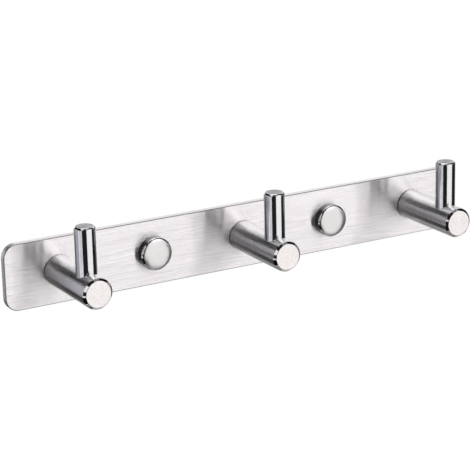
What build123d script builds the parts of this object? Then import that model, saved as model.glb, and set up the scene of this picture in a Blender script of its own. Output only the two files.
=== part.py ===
from build123d import *

import os

# Wall hook rack: a flat stainless plate with three round pegs, an upright pin near the end of each peg,
# and two wall screws under screw-on caps. Lengths are in millimetres.
# The origin is the centre of the plate's back face, which lies against the wall. X runs along the plate,
# the front looks towards -Y, and Z is up.

# Back plate
plate_length = 255.0
plate_height = 32.5
plate_thickness = 3.5
plate_corner_radius = 6.5
plate_edge_round = 0.4

# Pegs, turned from round bar
peg_pitch = 100.0
peg_diameter = 15.0
peg_length = 43.0
peg_front_chamfer = 1.2
peg_back_chamfer = 0.5

# Upright pins, pressed into a blind cross bore in each peg
pin_diameter = 10.0
pin_reach = 31.0
pin_top = 29.5
pin_seat_below_axis = 2.0
pin_top_chamfer = 0.8
pin_foot_chamfer = 0.5

# Countersunk socket screws that hold the pegs from behind, M5
peg_screw_diameter = 5.0
peg_screw_head_diameter = 10.0
peg_screw_length = 16.0
peg_screw_recess = 0.2
peg_screw_tip_chamfer = 0.6
peg_screw_socket = 3.0
peg_screw_socket_depth = 2.0
peg_screw_clearance_diameter = 5.5
peg_tapped_depth = 15.0

# Wall screws, countersunk wood screws with a plain neck and a cross recess
wall_screw_pitch = 100.0
wall_screw_length = 40.0
wall_screw_head_diameter = 8.0
wall_screw_neck_diameter = 3.2
wall_screw_thread_diameter = 4.0
wall_screw_point_length = 7.0
wall_screw_point_diameter = 0.6
wall_screw_recess_width = 4.4
wall_screw_recess_slot = 1.0
wall_screw_recess_depth = 1.8
wall_screw_recess_taper = 12.0
wall_screw_hole_diameter = 5.5

# Threaded seats, one clamped under each wall screw
seat_diameter = 13.9
seat_height = 3.0
seat_edge_chamfer = 0.4
seat_hole_diameter = 4.4
seat_head_recess = 0.15

# Cover caps, hollow and turned, which screw onto the seats
cap_diameter = 16.5
cap_skirt = 4.0
cap_bevel = 0.8
cap_dome = 0.4
cap_bore_diameter = 14.2
cap_bore_depth = 3.9
cap_rim_gap = 0.1
cap_rim_chamfer = 0.3
cap_relief_depth = 0.25
cap_relief_height = 0.7

countersink_angle = 90.0
plate_front = -plate_thickness
pin_axis_y = plate_front - pin_reach
peg_places = {"left": -peg_pitch, "middle": 0.0, "right": peg_pitch}
cap_places = {"left": -wall_screw_pitch / 2, "right": wall_screw_pitch / 2}


def turning_plane(x, y):
    """Half-section plane of a piece turned about the line through x and y: radius, then distance forward."""
    return Plane(origin=(x, y, 0), x_dir=(1, 0, 0), z_dir=(0, 0, -1))


def drilling_plane(x, y, towards):
    """Plane square to the wall whose holes are drilled away from the given side, +1 back or -1 front."""
    return Plane(origin=(x, y, 0), x_dir=(1, 0, 0), z_dir=(0, towards, 0))


def make_back_plate():
    """Flat bar with rounded corners, countersunk from behind for the pegs and drilled for the wall screws."""
    with BuildPart() as back_plate:
        with BuildSketch(Plane.XZ):
            RectangleRounded(plate_length, plate_height, plate_corner_radius)
        extrude(amount=plate_thickness)
        fillet(back_plate.faces().filter_by(Axis.Y).edges(), plate_edge_round)
        with Locations([drilling_plane(x, 0, 1) for x in peg_places.values()]):
            CounterSinkHole(
                radius=peg_screw_clearance_diameter / 2,
                counter_sink_radius=peg_screw_head_diameter / 2 + peg_screw_recess,
                counter_sink_angle=countersink_angle,
            )
        with Locations([drilling_plane(x, 0, 1) for x in cap_places.values()]):
            Hole(radius=wall_screw_hole_diameter / 2)
    return back_plate.part


def make_peg(x):
    """Round bar with a broad front chamfer, tapped from behind and cross bored for the pin."""
    with BuildPart() as peg:
        with BuildSketch(Plane.XZ.offset(plate_thickness)):
            with Locations((x, 0)):
                Circle(peg_diameter / 2)
        extrude(amount=peg_length)
        ends = peg.edges().filter_by(GeomType.CIRCLE).sort_by(Axis.Y)
        chamfer(ends[0], peg_front_chamfer)
        chamfer(ends[-1], peg_back_chamfer)
        with Locations(drilling_plane(x, plate_front, 1)):
            Hole(radius=peg_screw_diameter / 2, depth=peg_tapped_depth)
        with Locations((x, pin_axis_y, peg_diameter / 2)):
            Hole(radius=pin_diameter / 2, depth=peg_diameter / 2 + pin_seat_below_axis)
    return peg.part


def make_pin(x):
    """Polished round pin that stands in the peg's cross bore, so that its foot meets the peg in a saddle."""
    with BuildPart() as pin:
        with BuildSketch(Plane.XY.offset(-pin_seat_below_axis)):
            with Locations((x, pin_axis_y)):
                Circle(pin_diameter / 2)
        extrude(amount=pin_seat_below_axis + pin_top)
        ends = pin.edges().filter_by(GeomType.CIRCLE).sort_by(Axis.Z)
        chamfer(ends[0], pin_foot_chamfer)
        chamfer(ends[-1], pin_top_chamfer)
    return pin.part


def make_peg_screw(x):
    """Countersunk screw whose head lies just below the plate's back face, with a hexagon socket."""
    head_radius = peg_screw_head_diameter / 2
    shank_radius = peg_screw_diameter / 2
    tip_radius = shank_radius - peg_screw_tip_chamfer
    section = turning_plane(x, -peg_screw_recess)
    with BuildPart() as peg_screw:
        with BuildSketch(section):
            with BuildLine():
                Polyline(
                    (0, 0),
                    (head_radius, 0),
                    (shank_radius, head_radius - shank_radius),
                    (shank_radius, peg_screw_length - peg_screw_tip_chamfer),
                    (tip_radius, peg_screw_length),
                    (0, peg_screw_length),
                    close=True,
                )
            make_face()
        revolve(axis=Axis(section.origin, section.y_dir))
        with BuildSketch(drilling_plane(x, -peg_screw_recess, 1)):
            RegularPolygon(peg_screw_socket / 2, side_count=6, major_radius=False)
        extrude(amount=-peg_screw_socket_depth, mode=Mode.SUBTRACT)
    return peg_screw.part


def make_wall_screw(x):
    """Countersunk wood screw with a tapered cross recess, a plain neck and a long point."""
    head_radius = wall_screw_head_diameter / 2
    neck_radius = wall_screw_neck_diameter / 2
    thread_radius = wall_screw_thread_diameter / 2
    head_face = plate_front - seat_height + seat_head_recess
    tip = -(wall_screw_length + head_face)
    section = turning_plane(x, 0)
    with BuildPart() as wall_screw:
        with BuildSketch(section):
            with BuildLine():
                Polyline(
                    (0, -head_face),
                    (head_radius, -head_face),
                    (neck_radius, -head_face - head_radius + neck_radius),
                    (neck_radius, 0),
                    (thread_radius, 0),
                    (thread_radius, tip + wall_screw_point_length),
                    (wall_screw_point_diameter / 2, tip),
                    (0, tip),
                    close=True,
                )
            make_face()
        revolve(axis=Axis(section.origin, section.y_dir))
        with BuildSketch(drilling_plane(x, head_face, -1)):
            Rectangle(wall_screw_recess_width, wall_screw_recess_slot)
            Rectangle(wall_screw_recess_slot, wall_screw_recess_width)
        extrude(amount=-wall_screw_recess_depth, taper=wall_screw_recess_taper, mode=Mode.SUBTRACT)
    return wall_screw.part


def make_cap_seat(x):
    """Ring between the plate and the screw head, whose rim carries the cap's thread."""
    with BuildPart() as cap_seat:
        with BuildSketch(Plane.XZ.offset(plate_thickness)):
            with Locations((x, 0)):
                Circle(seat_diameter / 2)
        extrude(amount=seat_height)
        chamfer(cap_seat.edges().filter_by(GeomType.CIRCLE).sort_by(Axis.Y)[0], seat_edge_chamfer)
        with Locations(drilling_plane(x, plate_front - seat_height, -1)):
            CounterSinkHole(
                radius=seat_hole_diameter / 2,
                counter_sink_radius=wall_screw_head_diameter / 2 + seat_head_recess,
                counter_sink_angle=countersink_angle,
            )
    return cap_seat.part


def make_cover_cap(x):
    """Hollow turned cap: a straight skirt, a bevelled rim and a low domed face, with a thread relief inside."""
    outer = cap_diameter / 2
    bore = cap_bore_diameter / 2
    face_radius = outer - cap_bevel
    face_edge = cap_skirt + cap_bevel
    dome_radius = (face_radius**2 + cap_dome**2) / (2 * cap_dome)
    section = turning_plane(x, plate_front)
    with BuildPart() as cover_cap:
        with BuildSketch(section):
            with BuildLine():
                rim = Polyline(
                    (0, cap_bore_depth),
                    (bore + cap_relief_depth, cap_bore_depth),
                    (bore + cap_relief_depth, cap_bore_depth - cap_relief_height),
                    (bore, cap_bore_depth - cap_relief_height - cap_relief_depth),
                    (bore, cap_rim_gap),
                    (outer - cap_rim_chamfer, cap_rim_gap),
                    (outer, cap_rim_gap + cap_rim_chamfer),
                    (outer, cap_skirt),
                    (face_radius, face_edge),
                )
                dome = RadiusArc(rim @ 1, (0, face_edge + cap_dome), -dome_radius)
                Line(dome @ 1, rim @ 0)
            make_face()
        revolve(axis=Axis(section.origin, section.y_dir))
    return cover_cap.part


pieces = {"back_plate": make_back_plate()}
for side, x in peg_places.items():
    pieces[f"peg_{side}"] = make_peg(x)
    pieces[f"upright_pin_{side}"] = make_pin(x)
    pieces[f"peg_screw_{side}"] = make_peg_screw(x)
for side, x in cap_places.items():
    pieces[f"wall_screw_{side}"] = make_wall_screw(x)
    pieces[f"cap_seat_{side}"] = make_cap_seat(x)
    pieces[f"cover_cap_{side}"] = make_cover_cap(x)

os.makedirs("parts", exist_ok=True)
for name, piece in pieces.items():
    piece.label = name
    export_step(piece, f"parts/{name}.step")
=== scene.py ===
import logging
import math
from dataclasses import dataclass, field
from enum import Enum
from functools import cache
from typing import Any, Callable, NamedTuple, Optional, Sequence

import bmesh
import bpy
from bmesh.types import BMEdge, BMesh, BMVert
from bpy.types import ID, Material, Node, NodeSocket, NodeTree, Object
from mathutils import Matrix, Vector


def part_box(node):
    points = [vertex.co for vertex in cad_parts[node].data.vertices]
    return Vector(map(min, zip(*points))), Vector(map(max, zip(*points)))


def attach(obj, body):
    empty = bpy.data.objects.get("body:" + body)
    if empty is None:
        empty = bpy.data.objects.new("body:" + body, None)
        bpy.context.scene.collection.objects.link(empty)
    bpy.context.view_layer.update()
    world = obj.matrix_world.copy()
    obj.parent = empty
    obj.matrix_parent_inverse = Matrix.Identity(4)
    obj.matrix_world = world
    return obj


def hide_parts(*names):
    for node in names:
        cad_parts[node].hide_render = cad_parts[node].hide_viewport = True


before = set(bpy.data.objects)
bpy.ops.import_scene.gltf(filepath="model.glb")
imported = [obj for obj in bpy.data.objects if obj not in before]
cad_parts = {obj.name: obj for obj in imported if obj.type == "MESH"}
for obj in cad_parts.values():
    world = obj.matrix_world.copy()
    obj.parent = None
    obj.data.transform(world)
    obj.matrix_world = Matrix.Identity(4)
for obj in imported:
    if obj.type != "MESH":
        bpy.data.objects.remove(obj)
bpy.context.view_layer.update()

MM = 0.001
IMAGE_PIXELS = 470
SURFACE_UV = "surface"
RUN_LAYER = "run_along_section"
TURN_STEPS = 96
EASE_SEGMENTS = 4
MERGE_DISTANCE = 1e-7
SHARP_ANGLE = math.radians(40)
FULL_TURN = 2.0 * math.pi
UP = Vector((0.0, 0.0, 1.0))
FORWARD = Vector((0.0, -1.0, 0.0))
BACKWARD = Vector((0.0, 1.0, 0.0))
WHITE = "#FFFFFF"
# Values that a noise pattern mostly lies between.
NOISE_SPAN = {"From Min": 0.3, "From Max": 0.7}
# How far the normals of end faces, crowns and chamfers lean along the axis that their piece was turned about.
FLAT_LEAN, CROWN_LEAN, CHAMFER_LEAN = 0.99, 0.9, 0.2

log = logging.getLogger("hook_rack")


class Side(Enum):
    """Place of a hook or a wall fixing along the plate."""

    LEFT = "left"
    MIDDLE = "middle"
    RIGHT = "right"


class Body(Enum):
    """Bodies of the frame that the pieces ride on."""

    RACK = "rack"
    LEFT_CAP = "left_cap"
    RIGHT_CAP = "right_cap"


class Slot(Enum):
    """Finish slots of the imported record."""

    PLATE = "brushed_plate"
    PEG = "turned_peg"
    PIN = "polished_pin"
    CAP = "polished_cap"
    SEAT = "seat_steel"
    SCREW = "screw_steel"


def linear(colour: str) -> tuple[float, float, float, float]:
    """Turns an sRGB hex colour into linear light.

    Args:
        colour: Six hex digits after a hash sign.

    Returns:
        Linear red, green and blue, and an alpha of one.
    """
    parts = [int(colour[i : i + 2], 16) / 255 for i in (1, 3, 5)]
    light = [p / 12.92 if p <= 0.04045 else ((p + 0.055) / 1.055) ** 2.4 for p in parts]
    return (*light, 1.0)


def add_node(tree: NodeTree, kind: str, inputs: Optional[dict[Any, Any]] = None, **settings: Any) -> Node:
    """Adds a node to a tree.

    Args:
        tree: Node tree that gets the node.
        kind: Node type, without the words that all shader nodes start with.
        inputs: Values of its sockets, or the outputs that they are linked to.
        settings: Properties of the node.

    Returns:
        The new node.
    """
    node = tree.nodes.new(f"ShaderNode{kind}")
    for name, value in settings.items():
        setattr(node, name, value)
    for name, value in (inputs or {}).items():
        if isinstance(value, NodeSocket):
            tree.links.new(value, node.inputs[name])
        else:
            node.inputs[name].default_value = value
    return node


def empty_material(name: str) -> Material:
    """Makes a material with an empty node tree.

    Args:
        name: Name of the material.

    Returns:
        The new material.
    """
    material = bpy.data.materials.new(name)
    material.use_nodes = True
    material.node_tree.nodes.clear()
    return material


class Marks(NamedTuple):
    """What a surface's marks give its steel: a pattern for the colour, one for the gloss, and a normal."""

    tone: NodeSocket
    wear: NodeSocket
    normal: NodeSocket


@dataclass(frozen=True, kw_only=True)
class SteelFinish:
    """Worked steel, which runs from dull and rough to pale and smooth as its marks say."""

    name: str
    pale: str
    dull: str
    smooth: float
    rough: float
    anisotropy: float = 0.0
    relief: float = 0.2
    # Torn burrs on an unpolished cut scatter a little light evenly to all sides.
    scatter: float = 0.0
    # Values of the colour's pattern where the steel is wholly dull and wholly pale.
    tone_span: tuple[float, float] = (0.3, 0.65)

    def marks(self, tree: NodeTree) -> Marks:
        """Adds the nodes of the surface's marks, which each kind of finish has its own of."""
        raise NotImplementedError

    @cache
    def material(self) -> Material:
        """Makes the material, with its marks in its colour, roughness and relief.

        Returns:
            The material, which is made only once.
        """
        material = empty_material(self.name)
        tree = material.node_tree
        marks = self.marks(tree)
        ramp = add_node(tree, "ValToRGB", {"Fac": marks.tone})
        for stop, value, colour in zip(ramp.color_ramp.elements, self.tone_span, (self.dull, self.pale)):
            stop.position = value
            stop.color = linear(colour)
        gloss = add_node(
            tree, "MapRange", {"Value": marks.wear, **NOISE_SPAN, "To Min": self.rough, "To Max": self.smooth}
        )
        tangent = add_node(tree, "Tangent", direction_type="UV_MAP", uv_map=SURFACE_UV)
        shader = add_node(
            tree,
            "BsdfPrincipled",
            {
                "Base Color": ramp.outputs["Color"],
                "Metallic": 1.0 - self.scatter,
                "Roughness": gloss.outputs["Result"],
                "Anisotropic": self.anisotropy,
                "Tangent": tangent.outputs["Tangent"],
                "Normal": marks.normal,
            },
        )
        add_node(tree, "OutputMaterial", {"Surface": shader.outputs["BSDF"]})
        return material


@dataclass(frozen=True, kw_only=True)
class BrushedStainless(SteelFinish):
    """Stainless steel bar, belt brushed along its length.

    The belt leaves long parallel scratches, so the face is pale and even along the bar, and what it mirrors
    is drawn out across the scratches into soft upright smears.
    """

    # Real scratches are about 0.1 mm wide. They are drawn wider, so that a render of the rail shows them.
    scratch_mm: float = 0.7
    scratch_length_mm: float = 20.0
    scratch_depth_mm: float = 0.004
    # The belt's pressure changes slowly along the bar.
    cloud_mm: float = 30.0
    cloud_share: float = 0.25
    # The finest scratches are too small to show one by one. Their flanks tilt the surface to and fro.
    fine_scratch_mm: float = 0.008
    fine_scratch_tilt: float = 2.3
    # Streaks where the belt cut deeper have steeper flanks than their neighbours.
    streak_contrast: float = 0.2
    scatter: float = 0.08
    tone_span: tuple[float, float] = (0.32, 0.66)

    def marks(self, tree: NodeTree) -> Marks:
        """Adds broad and fine scratches and slow clouds.

        Args:
            tree: Node tree of the material.

        Returns:
            Scratches in clouds for the colour, scratches for the gloss, and a normal that leans across them.
        """
        place = add_node(tree, "TexCoord").outputs["Object"]
        along = 1 / (self.scratch_length_mm * MM)
        grains = []
        for width_mm, detail, fade in ((self.scratch_mm, 3.0, 0.6), (self.fine_scratch_mm, 2.0, 0.5)):
            across = 1 / (width_mm * MM)
            mapping = add_node(tree, "Mapping", {"Vector": place, "Scale": (along, across, across)})
            noise = {"Vector": mapping.outputs["Vector"], "Scale": 1.0, "Detail": detail, "Roughness": fade}
            grains.append(add_node(tree, "TexNoise", noise).outputs["Fac"])
        scratches, fine = grains
        clouds = add_node(
            tree, "TexNoise", {"Vector": place, "Scale": 1 / (self.cloud_mm * MM), "Detail": 2.0}
        )
        tone = add_node(
            tree,
            "Mix",
            {"Factor": self.cloud_share, "A": scratches, "B": clouds.outputs["Fac"]},
            data_type="FLOAT",
        )
        depth = self.scratch_depth_mm * MM
        relief = add_node(tree, "Bump", {"Strength": self.relief, "Distance": depth, "Height": scratches})
        steepest = self.fine_scratch_tilt / 2
        tilt = add_node(tree, "MapRange", {"Value": fine, "To Min": -steepest, "To Max": steepest})
        deep, shallow = 1 + self.streak_contrast, 1 - self.streak_contrast
        streak = add_node(
            tree, "MapRange", {"Value": scratches, **NOISE_SPAN, "To Min": deep, "To Max": shallow}
        )
        lean = add_node(
            tree, "Math", {0: tilt.outputs["Result"], 1: streak.outputs["Result"]}, operation="MULTIPLY"
        )
        across_grain = add_node(tree, "Tangent", direction_type="UV_MAP", uv_map=SURFACE_UV)
        flank = add_node(
            tree,
            "VectorMath",
            {"Vector": across_grain.outputs["Tangent"], "Scale": lean.outputs["Value"]},
            operation="SCALE",
        )
        tilted = add_node(
            tree, "VectorMath", {0: relief.outputs["Normal"], 1: flank.outputs["Vector"]}, operation="ADD"
        )
        normal = add_node(tree, "VectorMath", {0: tilted.outputs["Vector"]}, operation="NORMALIZE")
        return Marks(tone.outputs["Result"], scratches, normal.outputs["Vector"])


@dataclass(frozen=True, kw_only=True)
class TurnedSteel(SteelFinish):
    """Steel turned on a lathe and then finished to some degree of polish.

    Fine rings are left round the axis, and faint ones stay after polishing. They draw highlights out along
    the piece and break them up a little.
    """

    # Real feed marks are 0.05 to 0.1 mm apart. They are drawn wider, so that a render shows them.
    ring_mm: float
    ring_depth_mm: float
    haze_mm: float = 6.0
    haze_share: float = 0.4

    def marks(self, tree: NodeTree) -> Marks:
        """Adds rings and patches of haze.

        Args:
            tree: Node tree of the material.

        Returns:
            Rings in haze for the colour and the gloss, and a normal with the rings' relief.
        """
        wrap = add_node(tree, "UVMap", uv_map=SURFACE_UV).outputs["UV"]
        place = add_node(tree, "TexCoord").outputs["Object"]
        mapping = add_node(tree, "Mapping", {"Vector": wrap, "Scale": (1 / (self.ring_mm * MM), 0.0, 1.0)})
        noise = {"Vector": mapping.outputs["Vector"], "Scale": 1.0, "Detail": 2.0, "Roughness": 0.55}
        rings = add_node(tree, "TexNoise", noise).outputs["Fac"]
        haze = add_node(tree, "TexNoise", {"Vector": place, "Scale": 1 / (self.haze_mm * MM), "Detail": 3.0})
        wear = add_node(
            tree,
            "Mix",
            {"Factor": self.haze_share, "A": rings, "B": haze.outputs["Fac"]},
            data_type="FLOAT",
        ).outputs["Result"]
        depth = self.ring_depth_mm * MM
        relief = add_node(tree, "Bump", {"Strength": self.relief, "Distance": depth, "Height": rings})
        return Marks(wear, wear, relief.outputs["Normal"])


# Face of the bar: brushed on a fine belt until it is nearly white under soft light.
BRUSHED_FACE = BrushedStainless(
    name="brushed_stainless_steel",
    pale="#FCF8F9",
    dull="#F4EFF0",
    smooth=0.17,
    rough=0.2,
    anisotropy=1.0,
)

# Narrow sides of the bar: ground along the edge on a coarser belt, so greyer and duller than the face.
GROUND_EDGE = BrushedStainless(
    name="ground_stainless_steel",
    pale="#F0EDEE",
    dull="#DEDBDC",
    smooth=0.24,
    rough=0.34,
    fine_scratch_tilt=0.6,
)

# Rounded arrises of the bar, broken by the belt's edge: their grey colour is painted shade, so a thin dark
# line is drawn round the pale face.
BURNISHED_ARRIS = BrushedStainless(
    name="painted_shade_arris_stainless_steel",
    pale="#9C9A9B",
    dull="#8A8889",
    smooth=0.12,
    rough=0.18,
    scratch_depth_mm=0.001,
    fine_scratch_tilt=0.0,
)

# Side of a peg: even turning marks left by the last fine cut and an abrasive cloth, so it is satin.
SATIN_PEG = TurnedSteel(
    name="satin_turned_stainless_steel",
    pale="#FAF8FA",
    dull="#EEECEE",
    smooth=0.26,
    rough=0.31,
    anisotropy=1.0,
    ring_mm=0.45,
    ring_depth_mm=0.003,
    relief=0.3,
    haze_mm=2.5,
)

# Front end of a peg: faced with a fine cut and lightly buffed, so it is paler than the bar's side.
FACED_PEG = TurnedSteel(
    name="fine_faced_stainless_steel",
    pale="#FBF6F4",
    dull="#F1EBE9",
    smooth=0.14,
    rough=0.22,
    anisotropy=0.7,
    ring_mm=0.7,
    ring_depth_mm=0.001,
    relief=0.1,
    haze_mm=1.2,
    haze_share=0.8,
    scatter=0.15,
)

# Back chamfer of a peg: its dark colour is painted shade, so that it draws a dark ring round the peg's root
# where the peg meets the plate.
STAINED_CORNER = TurnedSteel(
    name="painted_shade_turned_stainless_steel",
    pale="#5A585A",
    dull="#3E3D3F",
    smooth=0.4,
    rough=0.5,
    ring_mm=0.3,
    ring_depth_mm=0.002,
)

# Front chamfer of a peg: one bright cut with a sharp tool, so it mirrors like polished steel.
BRIGHT_CHAMFER = TurnedSteel(
    name="bright_cut_stainless_steel",
    pale="#E8E6E6",
    dull="#DAD8D8",
    smooth=0.05,
    rough=0.1,
    ring_mm=0.5,
    ring_depth_mm=0.001,
    relief=0.1,
)

# Side of a pin: buffed until the turning marks are nearly gone, so it mirrors the room in clear stripes.
MIRROR_PIN = TurnedSteel(
    name="mirror_polished_stainless_steel",
    pale="#EEEEF0",
    dull="#E6E6E9",
    smooth=0.09,
    rough=0.14,
    anisotropy=0.9,
    ring_mm=1.2,
    ring_depth_mm=0.0006,
    relief=0.1,
)

# Top of a pin: rings from the facing cut, left unpolished, so it is darker than the pin's side.
FACED_END = TurnedSteel(
    name="faced_stainless_steel",
    pale="#BCBCBE",
    dull="#606064",
    smooth=0.2,
    rough=0.34,
    anisotropy=0.95,
    ring_mm=0.9,
    ring_depth_mm=0.02,
    relief=0.6,
)

# Crown of a cap: brushed lightly while it turned, so its face is soft and darkens slowly towards the rim.
SATIN_CROWN = TurnedSteel(
    name="satin_crown_stainless_steel",
    pale="#F0ECEC",
    dull="#E6E2E2",
    smooth=0.23,
    rough=0.28,
    ring_mm=0.8,
    ring_depth_mm=0.001,
    relief=0.12,
    scatter=0.12,
)

# Rim of a cap: buffed after turning, so it mirrors the room in thin bright and dark rings.
POLISHED_RIM = TurnedSteel(
    name="polished_stainless_steel",
    pale="#EEEDEE",
    dull="#E4E3E4",
    smooth=0.09,
    rough=0.15,
    ring_mm=0.8,
    ring_depth_mm=0.001,
    relief=0.12,
)

# Skirt of a cap: turned steel coloured greyer than the rim, which is painted shade that darkens the cap's
# side.
TURNED_SKIRT = TurnedSteel(
    name="turned_stainless_steel",
    pale="#8C8B8E",
    dull="#757477",
    smooth=0.1,
    rough=0.17,
    anisotropy=0.3,
    ring_mm=0.6,
    ring_depth_mm=0.002,
)

# Seat: steel bare from the lathe, with plain cutting rings.
MACHINED_SEAT = TurnedSteel(
    name="machined_steel",
    pale="#CDCDCF",
    dull="#AFAFB2",
    smooth=0.2,
    rough=0.36,
    anisotropy=0.5,
    ring_mm=0.4,
    ring_depth_mm=0.006,
    relief=0.5,
)

# Screws: stainless steel, rolled and pickled, which gives an even, slightly grey skin.
PICKLED_SCREW = TurnedSteel(
    name="pickled_stainless_steel",
    pale="#D2D2D3",
    dull="#B6B6B8",
    smooth=0.2,
    rough=0.34,
    anisotropy=0.2,
    ring_mm=0.5,
    ring_depth_mm=0.004,
    relief=0.3,
    haze_mm=2.0,
)


def link_object(name: str, data: ID) -> Object:
    """Adds an object to the scene.

    Args:
        name: Name of the object.
        data: Its mesh, lamp or camera.

    Returns:
        The new object.
    """
    added = bpy.data.objects.new(name, data)
    bpy.context.scene.collection.objects.link(added)
    return added


def link_mesh(name: str, bm: BMesh) -> Object:
    """Adds a mesh to the scene.

    Args:
        name: Name of the object.
        bm: Its mesh, in place, which is freed.

    Returns:
        The new object.
    """
    mesh = bpy.data.meshes.new(name)
    bm.to_mesh(mesh)
    bm.free()
    return link_object(name, mesh)


def round_off(bm: BMesh, geom: Sequence[BMVert | BMEdge], setback: float, segments: int) -> None:
    """Rounds corners or edges of a mesh.

    Args:
        bm: Mesh to round.
        geom: Vertices at the corners, or edges.
        setback: How far each rounding reaches.
        segments: Steps in each rounding.
    """
    bmesh.ops.bevel(
        bm,
        geom=geom,
        offset=setback,
        offset_type="OFFSET",
        segments=segments,
        profile=0.5,
        affect="EDGES" if isinstance(geom[0], BMEdge) else "VERTICES",
        material=-1,
    )


def close_mesh(bm: BMesh) -> None:
    """Merges seams and poles and turns all faces outwards.

    Args:
        bm: Mesh to close.
    """
    bmesh.ops.remove_doubles(bm, verts=bm.verts, dist=MERGE_DISTANCE)
    bmesh.ops.dissolve_degenerate(bm, edges=bm.edges, dist=MERGE_DISTANCE)
    bmesh.ops.recalc_face_normals(bm, faces=bm.faces)
    bm.normal_update()
    # A thread that runs out to nothing can still be inside out, which the sign of its shell's volume tells.
    unseen = set(bm.faces)
    while unseen:
        shell = [unseen.pop()]
        for face in shell:
            beside = unseen.intersection(f for edge in face.edges for f in edge.link_faces)
            unseen -= beside
            shell.extend(beside)
        if sum(f.calc_center_median().dot(f.normal) * f.calc_area() for f in shell) < 0:
            bmesh.ops.reverse_faces(bm, faces=shell)
    bm.normal_update()


def make_piece(name: str, bm: BMesh, node: str, body: Body) -> Object:
    """Makes a finished mesh into a piece of the rack that stands for a node of the frame.

    Args:
        name: Name of the piece.
        bm: Its mesh, in place, which is freed.
        node: Node that it stands for.
        body: Body that it rides on.

    Returns:
        The new object.
    """
    for face in bm.faces:
        face.smooth = True
    for edge in bm.edges:
        edge.smooth = edge.calc_face_angle(0.0) < SHARP_ANGLE
    piece = link_mesh(name, bm)
    weighting = piece.modifiers.new("weighted_normals", "WEIGHTED_NORMAL")
    weighting.mode = "FACE_AREA"
    weighting.weight = 100
    weighting.keep_sharp = True
    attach(piece, body.value)
    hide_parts(node)
    log.info("%s: %d faces, rides on %s", name, len(piece.data.polygons), body.value)
    return piece


def dress_piece(piece: Object, *finishes: SteelFinish) -> None:
    """Gives a piece its finishes, in the order that its faces number them."""
    for finish in finishes:
        piece.data.materials.append(finish.material())


@dataclass(frozen=True)
class Corner:
    """Corner of a turned half-section, in metres, with the set-back of its rounding."""

    radius: float
    along: float
    ease: float = 0.0


@dataclass(frozen=True)
class Thread:
    """Single thread ridge, in metres: its foot is a share of its pitch, and its crest a share of its foot."""

    root_radius: float
    crest_radius: float
    pitch: float
    start: float
    end: float
    steps_per_turn: int = 32
    foot_share: float = 0.84
    crest_share: float = 0.15

    @property
    def steps(self) -> int:
        """Whole steps that fill the threaded length."""
        return round((self.end - self.start - self.pitch) / self.pitch * self.steps_per_turn)


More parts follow.
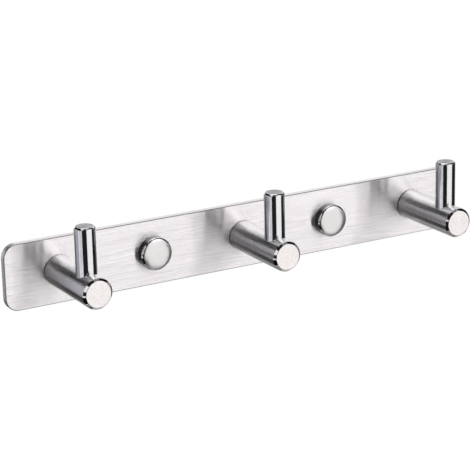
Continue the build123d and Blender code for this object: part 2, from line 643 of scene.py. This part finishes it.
@dataclass
class TurnedPiece:
    """Piece turned about an axis that starts at one end of its node's box and runs in a direction."""

    kind: str
    side: Side
    direction: Vector
    bm: BMesh = field(default_factory=bmesh.new, init=False)
    node: str = field(init=False)
    origin: Vector = field(init=False)
    radius: float = field(init=False)
    length: float = field(init=False)

    def __post_init__(self) -> None:
        """Takes the axis, radius and length from the node's box, and gets ready to record runs."""
        self.node = f"{self.kind}_{self.side.value}"
        low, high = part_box(self.node)
        half = (high - low) / 2
        reach = abs(half.dot(self.direction))
        self.origin = low + half - self.direction * reach
        self.radius = half.x
        self.length = 2 * reach
        self.bm.verts.layers.float.new(RUN_LAYER)

    @property
    def across(self) -> Vector:
        """Direction away from the axis in the half-section plane."""
        return self.direction.orthogonal().normalized()

    def place(self, radius: float, along: float) -> Vector:
        """Point of the half-section plane at a radius and a distance along the axis."""
        return self.origin + self.across * radius + self.direction * along

    def along(self, point: Vector) -> float:
        """Distance of a point along the axis."""
        return (point - self.origin).dot(self.direction)

    def outward(self, point: Vector) -> Vector:
        """Offset of a point from the axis."""
        return point - self.origin - self.direction * self.along(point)

    def angle(self, point: Vector) -> float:
        """Angle of a point round the axis, from the half-section plane."""
        offset = self.outward(point)
        return math.atan2(offset.dot(self.direction.cross(self.across)), offset.dot(self.across))

    def turn(self, *corners: Corner, closed: bool = False) -> None:
        """Spins a half-section once round the axis, as the first thing done to the mesh.

        Args:
            corners: Half-section, listed so that it can end on the axis or at an open edge.
            closed: Whether the section closes on itself, as a ring's does.
        """
        chain = [self.bm.verts.new(self.place(c.radius, c.along)) for c in corners]
        for ends in zip(chain, chain[1:] + chain[: int(closed)]):
            self.bm.edges.new(ends)
        for vert, corner in zip(chain, corners):
            if corner.ease > 0:
                round_off(self.bm, [vert], corner.ease, EASE_SEGMENTS)
        section = list(self.bm.verts)
        self._measure_run(next((v for v in section if len(v.link_edges) == 1), section[0]))
        bmesh.ops.spin(
            self.bm,
            geom=[*section, *self.bm.edges],
            cent=self.origin,
            axis=self.direction,
            angle=FULL_TURN,
            steps=TURN_STEPS,
            use_merge=True,
        )

    def _measure_run(self, first: BMVert) -> None:
        """Writes the distance along an open or closed section to its vertices.

        Args:
            first: Vertex that the section starts at.
        """
        layer = self.bm.verts.layers.float[RUN_LAYER]
        vert, edge, run = first, first.link_edges[0], 0.0
        while edge is not None:
            vert[layer] = run
            run += edge.calc_length()
            vert = edge.other_vert(vert)
            if vert is first:
                return
            edge = next((e for e in vert.link_edges if e is not edge), None)
        vert[layer] = run

    def cut_thread(self, thread: Thread) -> None:
        """Winds a closed thread ridge round the axis.

        Args:
            thread: Radii, pitch and ends of the thread.
        """
        foot = thread.pitch * thread.foot_share / 2
        crest = foot * thread.crest_share
        middle = thread.start + thread.pitch / 2
        section = [
            self.bm.verts.new(self.place(thread.root_radius, middle - foot)),
            self.bm.verts.new(self.place(thread.crest_radius, middle - crest)),
            self.bm.verts.new(self.place(thread.crest_radius, middle + crest)),
            self.bm.verts.new(self.place(thread.root_radius, middle + foot)),
        ]
        edges = [self.bm.edges.new(ends) for ends in zip(section, section[1:] + section[:1])]
        layer = self.bm.verts.layers.float[RUN_LAYER]
        for i, vert in enumerate(section):
            vert[layer] = i * foot
        bmesh.ops.contextual_create(self.bm, geom=edges)
        wound = bmesh.ops.spin(
            self.bm,
            geom=section + edges,
            cent=self.origin,
            axis=self.direction,
            dvec=self.direction * (thread.pitch / thread.steps_per_turn),
            angle=thread.steps / thread.steps_per_turn * FULL_TURN,
            steps=thread.steps,
        )
        last = [g for g in wound["geom_last"] if isinstance(g, BMEdge)]
        bmesh.ops.contextual_create(self.bm, geom=last)

    def limit_radius(self, limit: Callable[[float], float]) -> None:
        """Draws the mesh in towards the axis where it stands outside a limit.

        Args:
            limit: Largest radius at a distance along the axis.
        """
        for vert in self.bm.verts:
            offset = self.outward(vert.co)
            allowed = limit(self.along(vert.co))
            if offset.length > allowed:
                vert.co -= offset * (1 - allowed / offset.length)

    def sink_recess(self, outline: Sequence[Vector], depth: float, floor_scale: float = 1.0) -> None:
        """Closes the open end of a turned head with a flat face that has a driver recess in it.

        Args:
            outline: Corners of the recess on the head's face, from the axis.
            depth: Depth of the recess.
            floor_scale: Size of the recess's floor against its mouth.
        """
        bm = self.bm
        bmesh.ops.remove_doubles(bm, verts=bm.verts, dist=MERGE_DISTANCE)
        rim = [e for e in bm.edges if e.is_boundary]
        mouth = [bm.verts.new(self.origin + corner) for corner in outline]
        lip = [bm.edges.new(ends) for ends in zip(mouth, mouth[1:] + mouth[:1])]
        bmesh.ops.triangle_fill(bm, use_beauty=True, edges=rim + lip, normal=-self.direction)
        sunk = bmesh.ops.extrude_edge_only(bm, edges=lip)
        floor = [g for g in sunk["geom"] if isinstance(g, BMVert)]
        bmesh.ops.translate(bm, verts=floor, vec=self.direction * depth)
        bmesh.ops.scale(
            bm,
            verts=floor,
            vec=Vector((floor_scale, 1.0, floor_scale)),
            space=Matrix.Translation(-(self.origin + self.direction * depth)),
        )
        floor_edges = [e for e in bm.edges if all(v in floor for v in e.verts)]
        bmesh.ops.contextual_create(bm, geom=floor_edges)

    def _wrap(self) -> None:
        """Lays a map over the piece: along its section, then round its axis in turns."""
        layer = self.bm.verts.layers.float[RUN_LAYER]
        uv = self.bm.loops.layers.uv.new(SURFACE_UV)
        for face in self.bm.faces:
            middle = self.angle(face.calc_center_median())
            for loop in face.loops:
                on_axis = self.outward(loop.vert.co).length < MERGE_DISTANCE
                angle = middle if on_axis else self.angle(loop.vert.co)
                if angle - middle > math.pi:
                    angle -= FULL_TURN
                if middle - angle > math.pi:
                    angle += FULL_TURN
                loop[uv].uv = (loop.vert[layer], angle / FULL_TURN)

    def finish(
        self, name: str, slot: Slot, number: Callable[[float], int] = lambda lean: 0, body: Body = Body.RACK
    ) -> Object:
        """Closes and maps the mesh and makes it a piece.

        Args:
            name: Name of the piece, without its side.
            slot: Finish slot of the record; not used.
            number: Gives a face the number of its finish, from its normal's lean along the axis.
            body: Body that it rides on.

        Returns:
            The new object.
        """
        close_mesh(self.bm)
        for face in self.bm.faces:
            face.material_index = number(face.normal.dot(self.direction))
        self._wrap()
        return make_piece(f"{name}_{self.side.value}", self.bm, self.node, body)


@dataclass
class BackPlate:
    """Flat bar against the wall, with rounded corners, drilled for the hooks and the wall screws."""

    hook_places: Sequence[float]
    screw_places: Sequence[float]
    node: str = "back_plate"
    corner_radius: float = 6.5 * MM
    edge_round: float = 0.4 * MM
    clearance_radius: float = 2.75 * MM
    countersink_radius: float = 5.2 * MM
    corner_segments: int = 16
    edge_segments: int = 6
    hole_segments: int = 48
    # How far the normals of the broad faces and the narrow sides lean towards the wall.
    face_lean: float = 0.995
    side_lean: float = 0.01
    piece: Optional[Object] = field(default=None, init=False)

    def build(self) -> None:
        """Builds the bar: a rounded outline, its thickness, its eased edges and its holes."""
        bm = bmesh.new()
        low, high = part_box(self.node)
        size, centre = high - low, (high + low) / 2
        bmesh.ops.create_grid(bm, x_segments=1, y_segments=1, size=0.5)
        bmesh.ops.scale(bm, verts=bm.verts, vec=(size.x, size.z, 1.0))
        bmesh.ops.rotate(bm, verts=bm.verts, matrix=Matrix.Rotation(math.pi / 2, 3, "X"))
        bmesh.ops.translate(bm, verts=bm.verts, vec=(centre.x, high.y, centre.z))
        round_off(bm, list(bm.verts), self.corner_radius, self.corner_segments)
        front = bmesh.ops.extrude_face_region(bm, geom=list(bm.faces))["geom"]
        front_verts = [g for g in front if isinstance(g, BMVert)]
        bmesh.ops.translate(bm, verts=front_verts, vec=FORWARD * size.y)
        bmesh.ops.recalc_face_normals(bm, faces=bm.faces)
        outlines = [e for e in bm.edges if abs(e.verts[0].co.y - e.verts[1].co.y) < MERGE_DISTANCE]
        round_off(bm, outlines, self.edge_round, self.edge_segments)
        self._drill(bm, high.y, low.y)
        close_mesh(bm)
        for face in bm.faces:
            lean = abs(face.normal.y)
            face.material_index = int(lean < self.face_lean) + int(lean < self.side_lean)
        self._map_brushing(bm)
        self.piece = make_piece("brushed_back_plate", bm, self.node, Body.RACK)

    def _ring(self, bm: BMesh, x: float, y: float, radius: float) -> list[BMEdge]:
        """Makes one circle of a hole, square to the wall.

        Args:
            bm: Mesh of the bar.
            x: Place along the bar.
            y: Distance from the wall plane.
            radius: Radius of the circle.

        Returns:
            The circle's edges.
        """
        made = bmesh.ops.create_circle(bm, cap_ends=False, segments=self.hole_segments, radius=radius)
        circle = made["verts"]
        bmesh.ops.rotate(bm, verts=circle, matrix=Matrix.Rotation(math.pi / 2, 3, "X"))
        bmesh.ops.translate(bm, verts=circle, vec=(x, y, 0.0))
        return list({e for v in circle for e in v.link_edges})

    def _drill(self, bm: BMesh, back: float, front: float) -> None:
        """Opens the flat faces, bores the holes and fills the faces round them.

        Args:
            bm: Mesh of the bar.
            back: Y of its back face, where the hooks' holes are countersunk at a right angle.
            front: Y of its front face.
        """
        flats = sorted(bm.faces, key=lambda f: f.calc_area())[-2:]
        front_edges, back_edges = (
            list(face.edges) for face in sorted(flats, key=lambda f: f.calc_center_median().y)
        )
        bmesh.ops.delete(bm, geom=flats, context="FACES_ONLY")
        wide, narrow = self.countersink_radius, self.clearance_radius
        plain = [(back, narrow), (front, narrow)]
        sunk = [(back, wide), (back - wide + narrow, narrow), (front, narrow)]
        for places, steps in ((self.hook_places, sunk), (self.screw_places, plain)):
            for x in places:
                rings = [self._ring(bm, x, y, radius) for y, radius in steps]
                for a, b in zip(rings, rings[1:]):
                    bmesh.ops.bridge_loops(bm, edges=a + b)
                back_edges += rings[0]
                front_edges += rings[-1]
        bmesh.ops.triangle_fill(bm, use_beauty=True, edges=back_edges, normal=BACKWARD)
        bmesh.ops.triangle_fill(bm, use_beauty=True, edges=front_edges, normal=FORWARD)

    @staticmethod
    def _map_brushing(bm: BMesh) -> None:
        """Lays a map whose first axis runs across the brushing, over the faces and round the edges.

        Args:
            bm: Finished mesh of the bar.
        """
        uv = bm.loops.layers.uv.new(SURFACE_UV)
        for face in bm.faces:
            for loop in face.loops:
                x, y, z = loop.vert.co
                loop[uv].uv = (z - y, x + y)

    def dress(self) -> None:
        """Gives the bar its brushed faces, its arrises in painted shade and its ground edges."""
        dress_piece(self.piece, BRUSHED_FACE, BURNISHED_ARRIS, GROUND_EDGE)


@dataclass
class Hook:
    """Peg with its upright pin and the screw that holds it from behind."""

    side: Side
    peg_chamfer: float = 1.2 * MM
    peg_back_chamfer: float = 0.5 * MM
    peg_ease: float = 0.18 * MM
    tapped_radius: float = 2.52 * MM
    tapped_depth: float = 15.0 * MM
    pin_chamfer: float = 0.8 * MM
    pin_foot_chamfer: float = 0.5 * MM
    pin_ease: float = 0.15 * MM
    screw_radius: float = 2.5 * MM
    screw_core_radius: float = 2.1 * MM
    screw_pitch: float = 0.8 * MM
    screw_head_land: float = 0.1 * MM
    screw_neck_ease: float = 0.2 * MM
    screw_neck_taper: float = 0.4 * MM
    screw_tip_chamfer: float = 0.6 * MM
    screw_thread_foot: float = 2.0 * MM
    socket_across_flats: float = 3.0 * MM
    socket_depth: float = 2.0 * MM
    pieces: dict[str, Object] = field(default_factory=dict, init=False)

    def build(self) -> None:
        """Builds the peg, the pin and the screw."""
        self._build_peg()
        self._build_pin()
        self._build_screw()

    def _build_peg(self) -> None:
        """Turns the peg, with its broad front chamfer and the tapped hole in its back."""
        peg = TurnedPiece("peg", self.side, FORWARD)
        peg.turn(
            Corner(0.0, self.tapped_depth),
            Corner(self.tapped_radius, self.tapped_depth),
            Corner(self.tapped_radius, 0.0),
            Corner(peg.radius - self.peg_back_chamfer, 0.0, self.peg_ease),
            Corner(peg.radius, self.peg_back_chamfer, self.peg_ease),
            Corner(peg.radius, peg.length - self.peg_chamfer, self.peg_ease),
            Corner(peg.radius - self.peg_chamfer, peg.length, self.peg_ease),
            Corner(0.0, peg.length),
        )
        self.pieces["peg"] = peg.finish("satin_peg", Slot.PEG, self._number_peg_face)

    @staticmethod
    def _number_peg_face(lean: float) -> int:
        """Numbers a peg's finishes from their faces' lean: side, front chamfer, front and back chamfer."""
        back_chamfer = -FLAT_LEAN < lean < -CHAMFER_LEAN
        return int(lean > CHAMFER_LEAN) + int(lean > FLAT_LEAN) + 3 * int(back_chamfer)

    def _build_pin(self) -> None:
        """Turns the pin, whose foot stands in the peg, and marks its faced top."""
        pin = TurnedPiece("upright_pin", self.side, UP)
        pin.turn(
            Corner(0.0, 0.0),
            Corner(pin.radius - self.pin_foot_chamfer, 0.0),
            Corner(pin.radius, self.pin_foot_chamfer),
            Corner(pin.radius, pin.length - self.pin_chamfer, self.pin_ease),
            Corner(pin.radius - self.pin_chamfer, pin.length, self.pin_ease),
            Corner(0.0, pin.length),
        )
        self.pieces["pin"] = pin.finish("polished_pin", Slot.PIN, lambda lean: int(lean > FLAT_LEAN))

    def _build_screw(self) -> None:
        """Turns the countersunk screw, winds its thread and sinks its hexagon socket."""
        screw = TurnedPiece("peg_screw", self.side, FORWARD)
        head, length, core = screw.radius, screw.length, self.screw_core_radius
        neck = head - self.screw_radius
        thread_start = neck + self.screw_pitch
        tip_start = length - self.screw_tip_chamfer
        screw.turn(
            Corner(head - self.screw_head_land, 0.0),
            Corner(head, self.screw_head_land),
            Corner(self.screw_radius, neck, self.screw_neck_ease),
            Corner(self.screw_radius, thread_start),
            Corner(core, thread_start + self.screw_neck_taper),
            Corner(core, tip_start),
            Corner(core - self.screw_tip_chamfer, length),
            Corner(0.0, length),
        )
        corner = Vector((self.socket_across_flats / math.sqrt(3), 0.0, 0.0))
        sixths = [Matrix.Rotation(-i * FULL_TURN / 6, 3, "Y") for i in range(6)]
        screw.sink_recess([sixth @ corner for sixth in sixths], self.socket_depth)
        screw.cut_thread(
            Thread(self.screw_thread_foot, self.screw_radius, self.screw_pitch, thread_start, length)
        )
        screw.limit_radius(
            lambda along: head if along < neck else self.screw_radius - max(0.0, along - tip_start)
        )
        self.pieces["screw"] = screw.finish("peg_screw_head", Slot.SCREW)

    def dress(self) -> None:
        """Gives the peg, the pin and the screw their finishes."""
        # The back chamfer's dark finish is painted shade round the peg's root.
        dress_piece(self.pieces["peg"], SATIN_PEG, BRIGHT_CHAMFER, FACED_PEG, STAINED_CORNER)
        dress_piece(self.pieces["pin"], MIRROR_PIN, FACED_END)
        dress_piece(self.pieces["screw"], PICKLED_SCREW)


@dataclass
class WallFixing:
    """Wall screw, the seat that it clamps and the cap that screws over both."""

    side: Side
    cap_body: Body
    # Depths of the cap are measured from its rim.
    cap_bore_radius: float = 7.25 * MM
    cap_bore_depth: float = 3.8 * MM
    cap_bore_ease: float = 0.2 * MM
    cap_mouth_chamfer: float = 0.1 * MM
    cap_rim_chamfer: float = 0.3 * MM
    cap_rim_ease: float = 0.08 * MM
    cap_foot_ease: float = 0.1 * MM
    cap_skirt: float = 3.6 * MM
    cap_bevel: float = 0.75 * MM
    cap_ease: float = 0.35 * MM
    cap_thread_foot: float = 7.35 * MM
    cap_thread_crest: float = 7.02 * MM
    cap_thread_start: float = 0.6 * MM
    cap_thread_end: float = 3.1 * MM
    crown_steps: int = 16
    crown_power: float = 4.0
    thread_pitch: float = 0.75 * MM
    seat_chamfer: float = 0.4 * MM
    seat_ease: float = 0.1 * MM
    seat_collar: float = 0.25 * MM
    seat_collar_taper: float = 0.125 * MM
    seat_core_radius: float = 6.6 * MM
    seat_thread_foot: float = 6.5 * MM
    seat_hole_radius: float = 2.2 * MM
    seat_mouth_radius: float = 4.15 * MM
    screw_land_width: float = 0.1 * MM
    screw_land_height: float = 0.12 * MM
    screw_neck_radius: float = 1.6 * MM
    screw_neck_ease: float = 0.3 * MM
    screw_neck_taper: float = 0.4 * MM
    screw_taper_ease: float = 0.2 * MM
    screw_core_radius: float = 1.35 * MM
    screw_thread_foot: float = 1.2 * MM
    screw_crest_radius: float = 2.0 * MM
    screw_pitch: float = 1.8 * MM
    screw_point_length: float = 7.0 * MM
    screw_point_radius: float = 0.3 * MM
    screw_core_point_length: float = 5.6 * MM
    screw_core_tip_radius: float = 0.08 * MM
    screw_bare_tip: float = 0.5 * MM
    recess_reach: float = 2.2 * MM
    recess_half_slot: float = 0.5 * MM
    recess_depth: float = 1.8 * MM
    recess_floor_scale: float = 0.6
    pieces: dict[str, Object] = field(default_factory=dict, init=False)

    def build(self) -> None:
        """Builds the wall screw, the seat and the cap."""
        self._build_screw()
        self._build_seat()
        self._build_cap()

    def _build_screw(self) -> None:
        """Turns the wood screw, winds its thread and sinks its cross recess."""
        screw = TurnedPiece("wall_screw", self.side, BACKWARD)
        head, length = screw.radius, screw.length
        core, crest = self.screw_core_radius, self.screw_crest_radius
        neck = head - self.screw_neck_radius
        wall = -screw.origin.y
        screw.turn(
            Corner(head - self.screw_land_width, 0.0),
            Corner(head, self.screw_land_height),
            Corner(self.screw_neck_radius, neck, self.screw_neck_ease),
            Corner(self.screw_neck_radius, wall, self.screw_taper_ease),
            Corner(core, wall + self.screw_neck_taper, self.screw_taper_ease),
            Corner(core, length - self.screw_core_point_length),
            Corner(self.screw_core_tip_radius, length),
            Corner(0.0, length),
        )
        reach, half = self.recess_reach, self.recess_half_slot
        arm = [Vector((reach, 0.0, -half)), Vector((reach, 0.0, half)), Vector((half, 0.0, half))]
        quarters = [Matrix.Rotation(-i * math.pi / 2, 3, "Y") for i in range(4)]
        cross = [quarter @ corner for quarter in quarters for corner in arm]
        screw.sink_recess(cross, self.recess_depth, self.recess_floor_scale)
        screw.cut_thread(
            Thread(self.screw_thread_foot, crest, self.screw_pitch, wall, length - self.screw_bare_tip)
        )
        point_start = length - self.screw_point_length
        slope = (crest - self.screw_point_radius) / self.screw_point_length
        screw.limit_radius(
            lambda along: crest - max(0.0, along - point_start) * slope if along > wall else head
        )
        self.pieces["screw"] = screw.finish("wood_screw", Slot.SCREW)

    def _build_seat(self) -> None:
        """Turns the seat ring with its countersunk hole and winds the cap's thread on its rim."""
        seat = TurnedPiece("cap_seat", self.side, FORWARD)
        core, hole, mouth = self.seat_core_radius, self.seat_hole_radius, self.seat_mouth_radius
        height, ease = seat.length, self.seat_ease
        seat.turn(
            Corner(hole, 0.0),
            Corner(hole, height - mouth + hole),
            Corner(mouth, height, ease),
            Corner(core - self.seat_chamfer, height, ease),
            Corner(core, height - self.seat_chamfer, ease),
            Corner(core, self.seat_collar + self.seat_collar_taper),
            Corner(seat.radius, self.seat_collar),
            Corner(seat.radius, 0.0),
            closed=True,
        )
        foot, collar, end = self.seat_thread_foot, self.seat_collar, height - self.seat_chamfer / 2
        seat.cut_thread(Thread(foot, seat.radius, self.thread_pitch, collar, end, TURN_STEPS))
        self.pieces["seat"] = seat.finish("threaded_seat", Slot.SEAT)

    def _build_cap(self) -> None:
        """Turns the hollow cap with its crowned face and winds the thread inside it."""
        cap = TurnedPiece("cover_cap", self.side, FORWARD)
        bore, depth, mouth = self.cap_bore_radius, self.cap_bore_depth, self.cap_mouth_chamfer
        shoulder = cap.radius - self.cap_bevel
        edge = self.cap_skirt + self.cap_bevel
        crown = cap.length - edge
        shares = [1 - (i + 1) / self.crown_steps for i in range(self.crown_steps)]
        cap.turn(
            Corner(0.0, depth),
            Corner(bore, depth, self.cap_bore_ease),
            Corner(bore, mouth),
            Corner(bore + mouth, 0.0),
            Corner(cap.radius - self.cap_rim_chamfer, 0.0, self.cap_rim_ease),
            Corner(cap.radius, self.cap_rim_chamfer, self.cap_foot_ease),
            Corner(cap.radius, self.cap_skirt, self.cap_ease),
            Corner(shoulder, edge, self.cap_ease),
            *(Corner(shoulder * s, edge + crown * (1 - s**self.crown_power)) for s in shares),
        )
        foot, crest = self.cap_thread_foot, self.cap_thread_crest
        start, end = self.cap_thread_start, self.cap_thread_end
        cap.cut_thread(Thread(foot, crest, self.thread_pitch, start, end, TURN_STEPS))
        self.pieces["cap"] = cap.finish(
            "crowned_cap",
            Slot.CAP,
            lambda lean: int(lean > CHAMFER_LEAN) + int(lean > CROWN_LEAN),
            self.cap_body,
        )

    def dress(self) -> None:
        """Gives the screw, the seat, and the cap's skirt, rim and crown their finishes."""
        dress_piece(self.pieces["screw"], PICKLED_SCREW)
        dress_piece(self.pieces["seat"], MACHINED_SEAT)
        # The skirt's grey finish is painted shade round the cap.
        dress_piece(self.pieces["cap"], TURNED_SKIRT, POLISHED_RIM, SATIN_CROWN)


@dataclass(frozen=True)
class StudioCard:
    """Curved card round the set, which only mirrors see: black to flag light off, grey or white to give tone.

    Azimuths are in degrees from the front, positive towards the right end of the rack; elevations are above
    the horizon.
    """

    name: str
    azimuths: tuple[float, float]
    elevations: tuple[float, float]
    tone: str
    distance: float = 1.5
    steps: int = 24

    def build(self) -> None:
        """Builds the card as a patch of a sphere and hides it from all but reflections."""
        start, end = (math.radians(a) for a in self.azimuths)
        low, high = (math.radians(e) for e in self.elevations)
        facing = Vector((math.sin(start), -math.cos(start), 0.0))
        bm = bmesh.new()
        bm.verts.new((facing * math.cos(low) + UP * math.sin(low)) * self.distance)
        sweeps = ((facing.cross(UP), high - low), (UP, end - start))
        for axis, angle in sweeps:
            geom = [*bm.verts, *bm.edges]
            bmesh.ops.spin(bm, geom=geom, cent=Vector(), axis=axis, angle=angle, steps=self.steps)
        card = link_mesh(f"card_{self.name}", bm)
        material = empty_material(f"{card.name}_board")
        tree = material.node_tree
        glow = add_node(tree, "Emission", {"Color": linear(self.tone), "Strength": 1.0})
        add_node(tree, "OutputMaterial", {"Surface": glow.outputs["Emission"]})
        card.data.materials.append(material)
        card.visible_camera = False
        card.visible_diffuse = False
        card.visible_transmission = False
        card.visible_shadow = False


CARDS = [
    StudioCard(*row)
    for row in (
        ("front_low", (-57, -10), (-50, -5), "#202020"),
        ("front_under", (-57, 8), (-56, -23), "#101010"),
        ("front_middle", (-46, -8), (-5, 18), "#34343A"),
        ("front_left", (-68, -46), (-13, 6), "#202020"),
        ("front_high", (-46, -14), (18, 36), "#141414"),
        ("front_top", (-57, -4), (36, 76), "#242424"),
        ("front_floor", (8, 42), (-64, -36), "#B4B4B4"),
        ("right_floor", (42, 100), (-70, -42), "#303030", 1.45),
        ("top", (-4, 57), (53, 74), "#909090"),
        ("top_right", (57, 100), (46, 70), "#161616"),
        ("right", (49, 98), (-42, 6), "#202020"),
        ("right_high", (66, 100), (6, 46), "#161616", 1.45),
        ("right_back", (98, 128), (-28, 24), "#66666A"),
        ("back_right", (126, 166), (0, 10), "#B4B4B6"),
        ("left", (-98, -57), (-21.5, -13), "#F4F4FA"),
        ("left_back", (-145, -98), (-21.5, -13), "#A1A1A8"),
        ("left_front", (-90, -68), (-13, 24), "#303034"),
        ("left_side", (-145, -90), (-13, 24), "#D2D2D8"),
        ("left_high", (-160, -60), (24, 62), "#101010"),
        ("left_low", (-160, -57), (-56, -21.5), "#0C0C0C"),
        ("back_high", (165, 214), (19, 36), "#141414"),
        ("back_middle", (192, 215), (-11, 19), "#B6B6C0"),
        ("back_low", (184, 215), (-38, -11), "#909090"),
        ("back_under", (140, 184), (-45, -14), "#707070"),
        ("floor", (-180, -80), (-89, -50), "#505050"),
        ("floor_front", (-80, 95), (-89, -58), "#909090"),
        ("floor_back", (95, 180), (-89, -50), "#C8C8C8"),
    )
]


@dataclass
class Studio:
    """Plain pale floor, white surroundings, two soft boxes and the cards."""

    floor_drop: float = 2.2
    floor_size: float = 14.0
    floor_colour: str = "#F4F4F2"
    floor_roughness: float = 0.9
    fill_strength: float = 0.85
    box_size: float = 0.8
    box_radiance: float = 0.8
    boxes: dict[str, tuple[float, float, float]] = field(
        default_factory=lambda: {"soft_box_front": (0.6, -1.15, 0.75), "soft_box_top": (0.2, 0.4, 1.7)}
    )

    def build(self) -> None:
        """Builds the floor, the world, the soft boxes and the cards."""
        self._build_floor()
        self._build_world()
        for name, place in self.boxes.items():
            self._build_box(name, Vector(place))
        for card in CARDS:
            card.build()

    @staticmethod
    def _seen(tree: NodeTree) -> NodeSocket:
        """Adds nodes that tell where the camera, a mirror or glass sees a surface.

        Args:
            tree: Node tree of the surface.

        Returns:
            One where the surface is seen, and nought elsewhere.
        """
        path = add_node(tree, "LightPath")
        seen = path.outputs["Is Camera Ray"]
        for ray in ("Is Glossy Ray", "Is Transmission Ray"):
            either = add_node(tree, "Math", {0: seen, 1: path.outputs[ray]}, operation="MAXIMUM")
            seen = either.outputs["Value"]
        return seen

    def _build_floor(self) -> None:
        """Lays the floor, pale under the lamps and white where it is the picture's background."""
        bm = bmesh.new()
        bmesh.ops.create_grid(bm, x_segments=1, y_segments=1, size=self.floor_size / 2)
        bmesh.ops.translate(bm, verts=bm.verts, vec=-UP * self.floor_drop)
        floor = link_mesh("floor", bm)
        material = empty_material("pale_floor")
        tree = material.node_tree
        paint = add_node(
            tree,
            "BsdfPrincipled",
            {"Base Color": linear(self.floor_colour), "Roughness": self.floor_roughness},
        )
        white = add_node(tree, "Emission", {"Color": linear(WHITE), "Strength": 1.0})
        mix = add_node(
            tree,
            "MixShader",
            {0: self._seen(tree), 1: paint.outputs["BSDF"], 2: white.outputs["Emission"]},
        )
        add_node(tree, "OutputMaterial", {"Surface": mix.outputs["Shader"]})
        floor.data.materials.append(material)

    def _build_world(self) -> None:
        """Makes the surroundings white where they are seen and a soft fill light elsewhere."""
        world = bpy.data.worlds.new("studio")
        world.use_nodes = True
        tree = world.node_tree
        tree.nodes.clear()
        strength = add_node(
            tree, "MapRange", {"Value": self._seen(tree), "To Min": self.fill_strength, "To Max": 1.0}
        )
        sky = add_node(tree, "Background", {"Color": linear(WHITE), "Strength": strength.outputs["Result"]})
        add_node(tree, "OutputWorld", {"Surface": sky.outputs["Background"]})
        bpy.context.scene.world = world

    def _build_box(self, name: str, place: Vector) -> None:
        """Hangs a square soft box that faces the rack.

        Args:
            name: Name of the lamp.
            place: Where it hangs.
        """
        lamp = bpy.data.lights.new(name, "AREA")
        lamp.shape = "SQUARE"
        lamp.size = self.box_size
        lamp.energy = math.pi * self.box_radiance * self.box_size**2
        box = link_object(name, lamp)
        box.location = place
        box.rotation_euler = (-place).to_track_quat("-Z", "Y").to_euler()
        box.visible_camera = False


@dataclass(frozen=True)
class PictureCamera:
    """Camera at the picture's viewing angle, in degrees and metres, for a square picture."""

    azimuth: float = -29.383
    elevation: float = 16.985
    roll: float = 1.351
    distance: float = 0.957883
    target: tuple[float, float, float] = (-0.0024996, 0.0, -0.0003239)
    focal_pixels: float = 1933.10
    sensor_mm: float = 36.0

    def build(self) -> None:
        """Places the camera and makes it the scene's."""
        azimuth, elevation, roll = (math.radians(a) for a in (self.azimuth, self.elevation, self.roll))
        level = Vector((math.sin(azimuth), -math.cos(azimuth), 0.0))
        back = level * math.cos(elevation) + UP * math.sin(elevation)
        right = UP.cross(back).normalized()
        above = back.cross(right)
        turned = Matrix((right, above, back)).transposed() @ Matrix.Rotation(-roll, 3, "Z")
        place = Vector(self.target) + back * self.distance
        data = bpy.data.cameras.new("picture_camera")
        data.sensor_width = self.sensor_mm
        data.lens = self.focal_pixels / IMAGE_PIXELS * self.sensor_mm
        camera = link_object("picture_camera", data)
        camera.matrix_world = Matrix.Translation(place) @ turned.to_4x4()
        bpy.context.scene.camera = camera


def middle_of(node: str) -> float:
    """Gives the place of a node's middle along the plate."""
    return sum(corner.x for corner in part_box(node)) / 2


def main() -> None:
    """Builds the rack and its studio."""
    logging.basicConfig(level=logging.INFO, format="%(name)s: %(message)s")
    bpy.context.scene.view_settings.view_transform = "Standard"
    hooks = [Hook(side) for side in Side]
    fixings = [WallFixing(Side.LEFT, Body.LEFT_CAP), WallFixing(Side.RIGHT, Body.RIGHT_CAP)]
    plate = BackPlate(
        hook_places=[middle_of(f"peg_{hook.side.value}") for hook in hooks],
        screw_places=[middle_of(f"wall_screw_{fixing.side.value}") for fixing in fixings],
    )
    for assembly in (plate, *hooks, *fixings):
        assembly.build()
        assembly.dress()
    Studio().build()
    PictureCamera().build()


if __name__ == "__main__":
    main()
